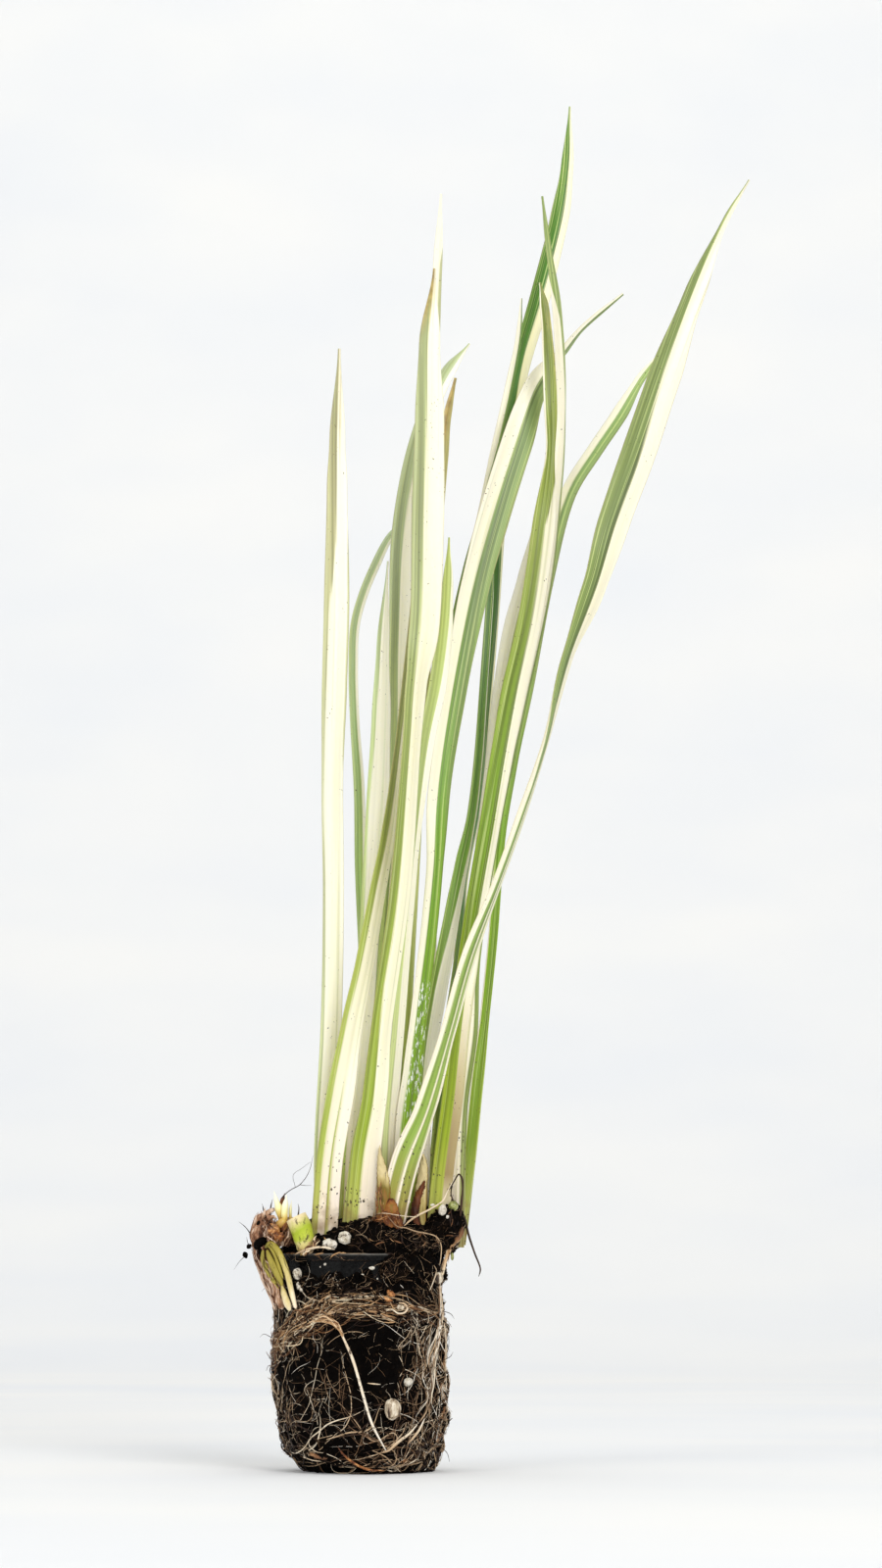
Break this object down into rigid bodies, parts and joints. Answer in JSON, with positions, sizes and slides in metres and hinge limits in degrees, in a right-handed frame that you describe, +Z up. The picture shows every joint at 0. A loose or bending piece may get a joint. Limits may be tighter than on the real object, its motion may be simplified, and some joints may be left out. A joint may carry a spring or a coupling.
{
  "type": "potted variegated sweet flag",
  "caption": "Clump of upright sword-shaped leaves, striped cream and green, growing from a small black net pot that its own fine roots have overgrown.",
  "frame": {"origin": "on the surface that the pot stands on, under the middle of the pot's rim", "axes": "+Z up along the leaves, the pictured front faces -Y, the leaves lean towards +X"},
  "size_m": [0.1516, 0.065, 0.432],
  "materials": {
    "leaf_cream_green": "satin, waxy",
    "leaf_deep_green": "satin, waxy",
    "leaf_browned": "matte, dry at the tip",
    "pot_plastic": "satin moulded",
    "compost": "matte, damp",
    "root_felt": "matte, fibrous",
    "rhizome_bark": "matte, scaly",
    "orange_root": "satin",
    "bud_skin": "satin",
    "dry_sheath": "matte, papery",
    "shoot_flesh": "satin, damp",
    "dark_root": "satin",
    "pale_root_skin": "satin",
    "pumice": "matte, pitted"
  },
  "bodies": {
    "root": {"leaf_01": "leaf_cream_green", "leaf_02": "leaf_cream_green", "leaf_03": "leaf_cream_green", "leaf_04": "leaf_cream_green", "leaf_05": "leaf_cream_green", "leaf_06": "leaf_deep_green", "leaf_07": "leaf_cream_green", "leaf_08": "leaf_cream_green", "leaf_09": "leaf_cream_green", "leaf_10": "leaf_cream_green", "leaf_11": "leaf_deep_green", "leaf_12": "leaf_cream_green", "leaf_13": "leaf_browned", "leaf_14": "leaf_cream_green", "leaf_15": "leaf_cream_green", "leaf_16": "leaf_cream_green", "leaf_17": "leaf_deep_green", "net_pot": "pot_plastic", "soil": "compost", "root_mat": "root_felt", "rhizome_left": "rhizome_bark", "root_knob": "orange_root", "bud_1": "bud_skin", "bud_2": "bud_skin", "bud_3": "bud_skin", "husk": "dry_sheath", "cut_stub": "shoot_flesh", "bent_shoot": "shoot_flesh", "sheath_1": "dry_sheath", "sheath_2": "dry_sheath", "edge_root": "orange_root", "hanging_root": "dark_root", "root_curl": "dark_root", "pale_root": "pale_root_skin", "grain_1": "pumice", "grain_2": "pumice", "grain_3": "pumice", "grain_4": "pumice", "grain_5": "pumice", "grain_6": "pumice"}
  },
  "joints": []
}
